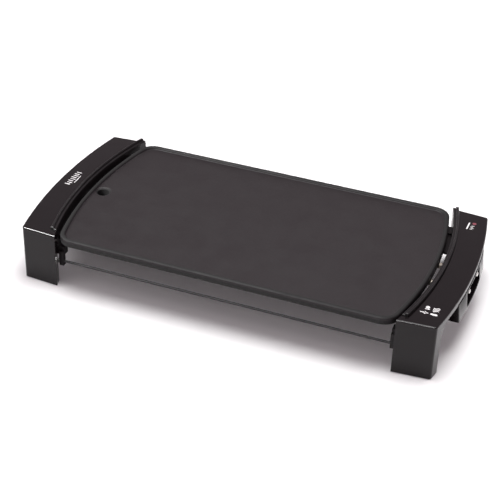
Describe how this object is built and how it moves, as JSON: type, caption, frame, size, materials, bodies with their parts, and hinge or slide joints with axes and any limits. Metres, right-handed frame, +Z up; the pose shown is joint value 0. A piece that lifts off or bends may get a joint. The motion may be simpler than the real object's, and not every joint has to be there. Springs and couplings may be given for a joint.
{
  "type": "electric griddle",
  "caption": "Tabletop electric griddle: a coated cast plate with a drain hole, on two moulded stands joined by tie rods, with a slide-out drip tray and a connector socket.",
  "frame": {"origin": "on the worktop, under the middle of the griddle", "axes": "+X along the plate towards the connector socket, -Y is the front, +Z is up"},
  "size_m": [0.5709, 0.2686, 0.0802],
  "materials": {
    "coated_plate": "fine-grained dark non-stick coating",
    "gloss_shell": "glossy moulded black",
    "satin_frame": "satin moulded black",
    "tie_rod_steel": "blackened steel",
    "fastener_steel": "zinc-plated steel",
    "sheet_steel": "pressed plated sheet",
    "sheath_steel": "heat-tinted steel sheath",
    "pin_nickel": "nickel-plated pin",
    "bead_ceramic": "unglazed white ceramic",
    "foot_rubber": "matt black rubber",
    "pad_silicone": "heat-proof silicone",
    "tray_coated": "dark enamelled sheet"
  },
  "bodies": {
    "stand": {"right_cover": "gloss_shell", "left_cover": "gloss_shell", "right_inner_frame": "satin_frame", "left_inner_frame": "satin_frame", "front_rod": "tie_rod_steel", "rear_rod": "tie_rod_steel", "rod_nuts": "fastener_steel", "foot_pads": "foot_rubber", "rest_pads": "pad_silicone", "cover_screws": "fastener_steel", "terminal_housing": "gloss_shell", "housing_screws": "fastener_steel", "front_tray_rail": "sheet_steel", "rear_tray_rail": "sheet_steel", "rail_screws": "fastener_steel"},
    "plate": {"griddle_plate": "coated_plate", "heating_element": "sheath_steel", "terminal_pins": "pin_nickel", "terminal_beads": "bead_ceramic", "terminal_bracket": "sheet_steel", "sensor_sleeve": "sheet_steel", "element_clamps": "sheet_steel", "clamp_screws": "fastener_steel", "bracket_screws": "fastener_steel"},
    "tray": {"drip_tray": "tray_coated", "tray_pull": "satin_frame", "pull_rivets": "fastener_steel"}
  },
  "joints": [
    {"name": "plate_tilt", "type": "hinge", "parent": "stand", "child": "plate", "pos_m": [0.2186, 0, 0.0645], "axis": [0, 1, 0], "range_deg": [0, 9]},
    {"name": "tray_slide", "type": "slide", "parent": "stand", "child": "tray", "axis": [-1, 0, 0], "range_m": [0, 0.09]}
  ]
}
